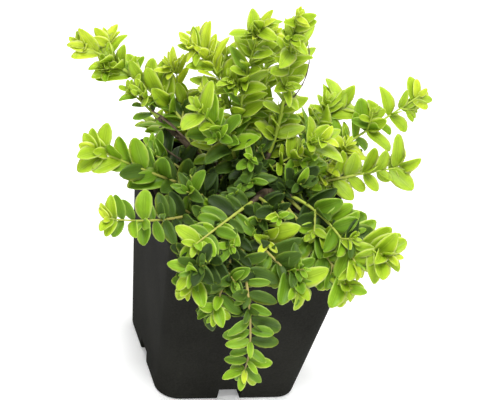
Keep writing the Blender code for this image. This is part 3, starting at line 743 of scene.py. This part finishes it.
foliageSettings = {
    "leafLength": 14.0,
    "leafWidth": 0.5,
    "leafThickness": 0.3,
    "spacing": 6.6,
    "firstNode": 3.5,
    "sunk": 0.4,
    "sideAngle": 46,
    "sideShortest": 6,
    "greenRadius": 0.8,
    "sideRadius": 0.55,
    "tipRadius": 0.3,
    "lightHeading": 249,
    "outwardFacing": 0.4,
    "tipFacing": 0.2,
    "crowding": 0.25,
    "tuftShare": 0.2,
    "spurEvery": 8,
    "spurLength": (6, 15),
    "sideFan": 28,
    "fewestLeaves": 5,
    "seed": 2,
}


def potClear(points, margin=0.4):
    # True where none of the points lies in the pot's wall or the compost, or on the far side of the wall.
    reach = np.abs(points[:, :2]).max(axis=1)
    atLip = points[:, 2] > potSettings["height"] - potSettings["lipHeight"] - 1
    outer = potHalf(np.clip(points[:, 2], 0, None)) + np.where(atLip, potSettings["lipOut"], 0)
    below = points[:, 2] < potSettings["height"] + margin
    outside = reach > outer + margin
    innerReach = outer - potSettings["lipOut"] - potSettings["wall"] - margin
    inside = (reach < innerReach) & (points[:, 2] > compostSettings["top"] + 1)
    if (below & ~outside & ~inside).any():
        return False
    return not ((below & outside).any() and (below & inside).any())


def leafFrame(root, way, face, angle, spin, lift, tipFacing=0.5):
    # Three axes of a leaf that leaves a twig at angle, is turned round the twig by spin and tipped up by lift. The
    # blade's upper side looks partly at the light and partly along the twig to its tip.
    normal = face - way * (face @ way)
    normal /= np.linalg.norm(normal)
    side = np.cross(way, normal)
    turned = normal * math.cos(spin) + side * math.sin(spin)
    side = np.cross(way, turned)
    out = way * math.cos(angle) + side * math.sin(angle)
    out = out * math.cos(lift) + turned * math.sin(lift)
    top = face + way * tipFacing
    top = top - out * (top @ out)
    top /= np.linalg.norm(top)
    return np.stack([out, np.cross(top, out), top])


def facing(point, rise):
    # Leaves turn to the light and away from the pot's axis.
    spec = foliageSettings
    turn, lift = math.radians(spec["lightHeading"]), math.radians(rise)
    light = np.array([math.cos(turn) * math.cos(lift), math.sin(turn) * math.cos(lift), math.sin(lift)])
    outward = np.array([point[0], point[1], 0])
    outward /= max(np.linalg.norm(outward), 1)
    face = light + outward * spec["outwardFacing"]
    return face / np.linalg.norm(face)


class Foliage:
    def __init__(self):
        self.random = np.random.default_rng(foliageSettings["seed"])
        self.leaves = []
        self.middles = np.zeros((0, 3))
        self.twigs = []
        self.tone = 0
        self.stems = np.concatenate([shoot["line"] for shoot in shoots.values()])
        self.stemOwners = np.concatenate([np.full(len(shoot["line"]), name) for name, shoot in shoots.items()])

    def hidesStem(self, samples, owner):
        # True where a leaf of another shoot would lie over the crossing stem, which stays in view.
        turn, lift = math.radians(foliageSettings["lightHeading"]), math.radians(34)
        light = np.array([math.cos(turn) * math.cos(lift), math.sin(turn) * math.cos(lift), math.sin(lift)])
        for name, shoot in shoots.items():
            if not shoot["lane"]:
                continue
            own = name == owner
            away = (samples[3:] if own else samples)[:, None] - shoot["line"][None, 2 * (shoot["wood"] - shoot["bare"])::3]
            height = away @ light
            beside = np.linalg.norm(away - height[..., None] * light, axis=2)
            if ((height > 0) & (beside < shoot["lane"] * (0.35 if own else 1))).any():
                return True
        return False

    def isPierced(self, root, axes, length, half, owner):
        # True where the twig of another shoot would go through the blade.
        x, y, z = axes @ (self.stems - root).T
        through = (x > 0.12 * length) & (x < 0.96 * length) & (np.abs(y) < 0.85 * half) & (np.abs(z) < 0.9)
        return (through & (self.stemOwners != owner)).any()

    def addLeaf(self, root, axes, length, age, shoot):
        # Keeps a leaf that is clear of the pot and doesn't lie on another one. Age runs from 0, old, to 1.2, a tip.
        spec = foliageSettings
        half = length * spec["leafWidth"] / 2
        corners = np.array([[0.35, -1, 0.2], [0.35, 1, 0.2], [0.7, -0.9, 0.2], [0.7, 0.9, 0.2], [1, 0, 0], [0.75, 0, 0], [0.25, 0, 0], [0.5, 0, 0]])
        samples = root + corners @ (axes * np.array([length, half, half])[:, None])
        middle = samples[-1]
        if not potClear(samples) or self.hidesStem(samples, shoot["name"]):
            return False
        if self.isPierced(root, axes, length, half, shoot["name"]):
            return False
        if len(self.middles) and np.linalg.norm(self.middles - middle, axis=1).min() < spec["crowding"] * length:
            return False
        self.middles = np.vstack([self.middles, middle])
        self.leaves.append({"root": root, "axes": axes, "length": length, "width": self.random.uniform(0.85, 1.15) * shoot["broad"],
                            "fold": self.random.uniform(0.1, 0.8), "curl": self.random.uniform(-0.06, 0.3),
                            "sweep": self.random.uniform(-0.12, 0.12), "phase": self.random.uniform(0, 6.28),
                            "blunt": self.random.uniform(*shoot["blunt"]), "age": age, "tone": self.tone, "owner": shoot["name"], "chance": self.random.normal(0, 0.12), "middle": middle})
        return True

    def addPair(self, line, distance, shoot, size, turned, angle, age):
        for side in (1, -1):
            (root,), (way,) = alongLine(line, distance + side * 0.2)
            face = facing(root, shoot["face"])
            root = root - face * foliageSettings["sunk"]
            for attempt in range(3):
                spread = 1 + attempt
                bend = math.radians(angle + self.random.uniform(-9, 9) * spread)
                spin = turned + math.radians(self.random.uniform(-16, 16) * spread)
                lift = math.radians(self.random.uniform(*shoot["lift"]) + 10 * attempt)
                tipFacing = shoot["tip"] + self.random.normal(0, foliageSettings["tipFacing"])
                axes = leafFrame(root, way, face, side * bend, spin, lift, tipFacing)
                grown = size * self.random.uniform(0.82, 1.12) * (shoot["below"] if axes[0][2] < -0.3 else 1)
                if self.addLeaf(root, axes, grown, age, shoot):
                    break

    def addTuft(self, line, distance, shoot, size, turned, age):
        # Two small leaves of the bud in each axil.
        for side in (1, -1):
            if self.random.uniform() > foliageSettings["tuftShare"]:
                continue
            (root,), (way,) = alongLine(line, distance + 0.8)
            for flip in (1, -1):
                bend = side * math.radians(self.random.uniform(38, 66) + flip * 12)
                spin = turned + flip * math.radians(self.random.uniform(25, 60))
                axes = leafFrame(root, way, facing(root, shoot["face"]), bend, spin, math.radians(self.random.uniform(5, 35)))
                self.addLeaf(root, axes, size * self.random.uniform(0.45, 0.7), age + 0.15, shoot)

    def growTwig(self, line, start, shoot, fan, size, radius, order):
        # Opposite pairs of leaves, closer and smaller towards the tip, and a rosette of small ones at the tip.
        spec = foliageSettings
        before = len(self.leaves)
        length = np.linalg.norm(np.diff(line, axis=0), axis=1).sum()
        self.tone = self.random.normal(0, 0.06) + shoot["tone"]
        self.twigs.append((line, start, length, radius, shoot, order))
        spacing = spec["spacing"] * shoot["spread"] * (0.8 if order else 1)
        distance = start
        node = 0
        while distance < length - 0.5 * spacing:
            share = distance / length
            grown = size * (0.9 + 0.1 * math.sin(math.pi * share)) * (1 - 0.2 * max(0, share - 0.75) / 0.25)
            turned = fan * (node % 2)
            angle = shoot["angle"] - 24 * share ** 2
            self.addPair(line, distance, shoot, grown * (0.84 if node % 2 else 1), turned, angle, share)
            self.addTuft(line, distance, shoot, grown, turned, share)
            if order == 0 and node % 3 == 1:
                self.addSide(line, distance, shoot, turned, (-1) ** (node // 3), share)
            distance += spacing * (1 - 0.35 * share) * self.random.uniform(0.8, 1.2)
            node += 1
        tipGrowth = self.random.uniform(0.85, 1.25)
        for step, (back, tipSize, angle) in enumerate(((4.4, 0.74, 56), (2.2, 0.56, 44), (0.8, 0.4, 28))):
            tip = max(length - back, 0.5)
            grown = size * tipSize * tipGrowth * (1 if order else shoot["tipLeaf"])
            self.addPair(line, tip, shoot, grown, math.radians(step * shoot["tipFan"] * (0.5 if order else 1)), angle * min(1, shoot["angle"] / 60) * shoot["tipAngle"], 0.95 if order else 1.2)
        if order and len(self.leaves) < before + spec["fewestLeaves"]:
            # A side twig that found no room for its leaves is left out.
            del self.leaves[before:], self.twigs[-1]
            self.middles = self.middles[:before]

    def addSide(self, line, distance, shoot, turned, side, share):
        spec = foliageSettings
        length = shoot["side"] * (1.15 - 0.85 * share) * self.random.uniform(0.8, 1.15)
        if length < spec["sideShortest"]:
            return
        (root,), (way,) = alongLine(line, distance)
        out = leafFrame(root, way, facing(root, shoot["face"]), side * math.radians(spec["sideAngle"]), turned + 0.4, 0.3)[0]
        self.growBranch(root, out, length, shoot, spec["leafLength"] * 0.78)

    def growBranch(self, root, out, length, shoot, size):
        heading = math.degrees(math.atan2(out[1], out[0]))
        rise = math.degrees(math.asin(np.clip(out[2], -1, 1)))
        branch = shootLine(root, heading, self.random.uniform(-12, 12), rise, rise + 10, length)
        if potClear(branch[::4]):
            tone = self.tone
            self.growTwig(branch, 3.2, shoot, math.radians(foliageSettings["sideFan"]), size, foliageSettings["sideRadius"], 1)
            self.tone = tone

    def addSpurs(self, shoot):
        # Short leafy spurs fill the crown's shaded middle. They stand round the bare part of a bough, and their leaves
        # get a darker tone that is painted shade.
        spec = foliageSettings
        for distance in np.arange(7, shoot["wood"] - 2, spec["spurEvery"] / shoot["spurs"]):
            (root,), (way,) = alongLine(shoot["line"], distance)
            out = facing(root, 40) * 0.7 + self.random.normal(0, 0.6, 3) + way * 0.3
            out = out / np.linalg.norm(out)
            shaded = {**shoot, "tone": -0.3}
            self.growBranch(root, out, self.random.uniform(*spec["spurLength"]), shaded, spec["leafLength"] * 0.92)


foliage = Foliage()
for shoot in shoots.values():
    foliage.growTwig(shoot["line"], foliageSettings["firstNode"] + shoot["first"] + max(shoot["wood"], 3), shoot, math.radians(shoot["fan"]),
                     foliageSettings["leafLength"] * shoot["leaf"], foliageSettings["greenRadius"], 0)
for shoot in shoots.values():
    foliage.addSpurs(shoot)
print("leaves grown:", len(foliage.leaves), "on", len(foliage.twigs), "twigs")


def twigMaterial():
    material, tree, shader = newMaterial("greenTwig", (0.30, 0.30, 0.08), 0.5)
    shader.inputs["Specular IOR Level"].default_value = 0.3
    # Twigs are tan low in the crown and yellow-green above it.
    split = tree.nodes.new("ShaderNodeSeparateXYZ")
    tree.links.new(tree.nodes.new("ShaderNodeTexCoord").outputs["Object"], split.inputs[0])
    height = mathNode(tree, "SUBTRACT", mathNode(tree, "MULTIPLY", split.outputs["Z"], 10), 0.6)
    height = mathNode(tree, "ADD", height, mathNode(tree, "MULTIPLY", objectNoise(tree, 60, 3), 0.4))
    tree.links.new(addRamp(tree, height, [(0.1, (0.20, 0.17, 0.055)), (0.48, (0.36, 0.30, 0.09)), (0.78, (0.35, 0.46, 0.05))]), shader.inputs["Base Color"])
    addBump(tree, shader, objectNoise(tree, 1500, 2), 0.3, 0.0001)
    return material


def makeTwigs():
    spec = foliageSettings
    shapes = []
    for line, start, length, radius, shoot, order in foliage.twigs:
        first = shoot["wood"] - 0.6 if order == 0 and shoot["wood"] else 0
        distances = np.linspace(max(first, 0), length, max(5, int((length - first) / 1.6)))
        points = alongLine(line, distances)[0]
        share = (distances - distances[0]) / (length - distances[0])
        swell = 1 + 0.2 * np.exp(-((distances - start + 4) % spec["spacing"] - 4) ** 2 / 0.8)
        radius = radius * shoot["girth"]
        radii = (radius + (spec["tipRadius"] - radius) * share) * swell
        middle = points[-1] - points[0]
        shapes.append(tube(points, radii, 8, sidewaysOf(math.degrees(math.atan2(middle[1], middle[0])))))
    points, faces = joinShapes(shapes)
    twigs = addPiece("greenTwigs", points * mm, faces, twigMaterial())
    return twigs


twigPiece = makeTwigs()
print("green twigs made")


# Leaf pieces, one for each colour. The darker colours are partly older leaves and partly painted shade for leaves deep
# in the crown or under others.

# Each edge colour is the blade's pale margin, partly the leaf's own and partly a painted highlight where light catches
# it.
leafColours = {
    "leavesLime": {"main": (0.47, 0.575, 0.030), "rib": (0.52, 0.61, 0.05), "edge": (0.66, 0.74, 0.17), "roughness": 0.45},
    "leavesBright": {"main": (0.33, 0.468, 0.020), "rib": (0.36, 0.495, 0.03), "edge": (0.51, 0.63, 0.115), "roughness": 0.45},
    "leavesFresh": {"main": (0.215, 0.37, 0.014), "rib": (0.235, 0.39, 0.02), "edge": (0.41, 0.56, 0.09), "roughness": 0.45},
    "leavesGreen": {"main": (0.13, 0.25, 0.012), "rib": (0.145, 0.27, 0.016), "edge": (0.25, 0.39, 0.05), "roughness": 0.46},
    "leavesDeep": {"main": (0.062, 0.120, 0.011), "rib": (0.067, 0.130, 0.013), "edge": (0.095, 0.175, 0.024), "roughness": 0.5},
    "leavesShaded": {"main": (0.024, 0.050, 0.006), "rib": (0.027, 0.055, 0.007), "edge": (0.04, 0.08, 0.012), "roughness": 0.55},
}

# Share along the blade, then the width of a pointed and of a blunt leaf there as shares of the greatest.
leafRows = ((0, 0.12, 0.12), (0.06, 0.37, 0.34), (0.16, 0.74, 0.65), (0.33, 0.98, 0.90), (0.55, 0.98, 1.0),
            (0.77, 0.74, 0.89), (0.92, 0.39, 0.58), (1.0, 0.10, 0.19))


def leafTemplate():
    # Rows along the blade and five columns across, on top and underneath, sharing the points of the margin.
    shares, pointed, blunt = np.array(leafRows).T
    count = len(shares)
    columns = np.array([-1, -0.5, 0, 0.5, 1])
    u, v = np.meshgrid(shares, columns, indexing="ij")
    top = np.stack([u, v * pointed[:, None], v * blunt[:, None], v], axis=-1).reshape(-1, 4)
    index = np.arange(count * 5).reshape(count, 5)
    under = index.copy()
    under[1:-1, 1:-1] = count * 5 + np.arange((count - 2) * 3).reshape(count - 2, 3)
    points = np.concatenate([top, top[index[1:-1, 1:-1].ravel()]])
    sunk = np.concatenate([np.zeros(count * 5), np.ones((count - 2) * 3)])
    topFaces = np.stack([index[:-1, :-1], index[1:, :-1], index[1:, 1:], index[:-1, 1:]], axis=-1).reshape(-1, 4)
    underFaces = np.stack([under[:-1, :-1], under[:-1, 1:], under[1:, 1:], under[1:, :-1]], axis=-1).reshape(-1, 4)
    return points, sunk, np.concatenate([topFaces, underFaces])


def makeLeaves(name, chosen, colour):
    # Every leaf at once: the blade is folded up along its midrib, its margin waves, its tip curls down and sweeps to a
    # side, and its middle is thickest.
    template, sunk, faces = leafTemplate()
    get = {key: np.array([leaf[key] for leaf in chosen]) for key in chosen[0] if key != "owner"}
    u, pointed, blunt, v = template.T
    across = pointed + (blunt - pointed) * get["blunt"][:, None]
    long = get["length"][:, None]
    half = long * foliageSettings["leafWidth"] / 2 * get["width"][:, None]
    x = u * long
    y = across * half + get["sweep"][:, None] * long * u ** 2
    ripple = 0.2 * np.sin(5 * u + get["phase"][:, None] + 2 * np.sign(v)) * np.abs(across)
    z = half * (get["fold"][:, None] * np.abs(across) ** 1.2 + ripple) - get["curl"][:, None] * long * u ** 2
    z = z - sunk * foliageSettings["leafThickness"]
    points = get["root"][:, None] + np.einsum("nvk,nkc->nvc", np.stack([x, y, z], axis=-1), get["axes"])
    uv = np.tile(np.stack([u, (v + 1) / 2], axis=1), (len(chosen), 1))
    shift = np.arange(len(chosen))[:, None, None] * len(template)
    piece = addPiece(name, points.reshape(-1, 3) * mm, (faces[None] + shift).reshape(-1, 4), leafMaterial(name, colour), uv)
    return piece


def leafMaterial(name, colour):
    # The blade is palest round its margin and tip, partly its own paler margin and partly a painted highlight where
    # light catches it. It is darker at its foot, with a faint midrib in a band darkened by painted shade.
    material, tree, shader = newMaterial(name, colour["main"], colour["roughness"])
    shader.inputs["Specular IOR Level"].default_value = 0.2
    shader.inputs["Subsurface Weight"].default_value = 0.4
    shader.inputs["Subsurface Radius"].default_value = (1.0, 1.0, 0.3)
    shader.inputs["Subsurface Scale"].default_value = 0.0008
    uv = tree.nodes.new("ShaderNodeUVMap")
    uv.uv_map = "leafUV"
    split = tree.nodes.new("ShaderNodeSeparateXYZ")
    tree.links.new(uv.outputs["UV"], split.inputs[0])
    away = mathNode(tree, "ABSOLUTE", mathNode(tree, "SUBTRACT", split.outputs["Y"], 0.5))
    nearTip = mathNode(tree, "MULTIPLY", mathNode(tree, "SUBTRACT", split.outputs["X"], 0.88), 4.2)
    rim = mathNode(tree, "MAXIMUM", away, nearTip)
    main, rib, edge = colour["main"], colour["rib"], colour["edge"]
    # The edge colour and the blend towards it are partly a painted highlight; the darker band beside the midrib is
    # painted shade.
    between = tuple(0.7 * a + 0.3 * b for a, b in zip(main, edge))
    grooveShade = tuple(0.82 * a for a in main)
    blade = addRamp(tree, rim, [(0.0, rib), (0.015, rib), (0.035, grooveShade), (0.14, main), (0.32, main), (0.40, between), (0.45, edge)])
    foot = addRamp(tree, split.outputs["X"], [(0.0, (0.7, 0.74, 0.7)), (0.6, (1.0, 1.0, 1.0))])
    shade = addRamp(tree, objectNoise(tree, 160, 4), [(0.3, (0.72, 0.78, 0.70)), (0.7, (1.0, 1.0, 1.0))])
    tone = multiply(tree, multiply(tree, blade, foot), shade)
    tree.links.new(tone, shader.inputs["Base Color"])
    veins = mathNode(tree, "SINE", mathNode(tree, "MULTIPLY", mathNode(tree, "SUBTRACT", split.outputs["X"], away), 44))
    addBump(tree, shader, mathNode(tree, "ADD", mathNode(tree, "MULTIPLY", veins, 0.3), objectNoise(tree, 700, 3)), 0.25, 0.0001)
    return material


def multiply(tree, first, second):
    mix = addNode(tree, "ShaderNodeMix", data_type="RGBA", blend_type="MULTIPLY")
    mix.inputs["Factor"].default_value = 1
    tree.links.new(first, mix.inputs["A"])
    tree.links.new(second, mix.inputs["B"])
    return mix.outputs["Result"]


def shadeOf(middles):
    # The share of shade on each leaf: how many others stand within 8 mm of its way to the light, up to 45 mm off.
    turn, lift = math.radians(foliageSettings["lightHeading"]), math.radians(50)
    light = np.array([math.cos(turn) * math.cos(lift), math.sin(turn) * math.cos(lift), math.sin(lift)])
    away = middles[None] - middles[:, None]
    height = away @ light
    beside = np.linalg.norm(away - height[..., None] * light, axis=2)
    above = (height > 3) & (height < 45) & (beside < 8)
    return np.minimum(above.sum(axis=1) / 14, 1)


def dealLeaves():
    # The main tips are lime and the outer sprays bright. Leaves deep in the crown or under others on the way to the
    # light are dealt darker colours: painted shade.
    groups = {name: [] for name in leafColours}
    shades = shadeOf(np.array([leaf["middle"] for leaf in foliage.leaves]))
    for leaf, shade in zip(foliage.leaves, shades):
        outward = np.linalg.norm((leaf["middle"] - np.array([0, 0, 95])) / np.array([80, 80, 100]))
        tone = leaf["tone"] * (1 if leaf["age"] <= 0.9 or leaf["tone"] > 0 else 0.4 if leaf["age"] > 1.1 else 0.75)
        age = min(leaf["age"], 1)
        fade = shoots[leaf["owner"]]["fade"] * (age - 0.6)
        # Nearness to the crown's middle and the share of shade lower the score, which is painted shade; age, fade and
        # chance stand for the leaves' own colour, and tone is partly their own colour and partly painted light and
        # shade.
        score = 0.1 + 0.6 * outward + 0.46 * age + tone + fade + leaf["chance"] - 0.3 * shade
        young = leaf["age"] > 1 and leaf["length"] < 0.66 * foliageSettings["leafLength"]
        if score > (1.05 if young else 1.9):
            groups["leavesLime"].append(leaf)
        elif score > 0.86:
            groups["leavesBright"].append(leaf)
        elif score > 0.66:
            groups["leavesFresh"].append(leaf)
        elif score > 0.44:
            groups["leavesGreen"].append(leaf)
        elif score > 0.2:
            groups["leavesDeep"].append(leaf)
        else:
            groups["leavesShaded"].append(leaf)
    return groups


pieces = [twigPiece]
for name, chosen in dealLeaves().items():
    pieces.append(makeLeaves(name, chosen, leafColours[name]))
    print(name, len(chosen), "leaves")
masses = ["mass_" + name for name in shoots]
share = math.ceil(len(masses) / len(pieces))
for i, piece in enumerate(pieces):
    if masses[i * share:(i + 1) * share]:
        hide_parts(*masses[i * share:(i + 1) * share])
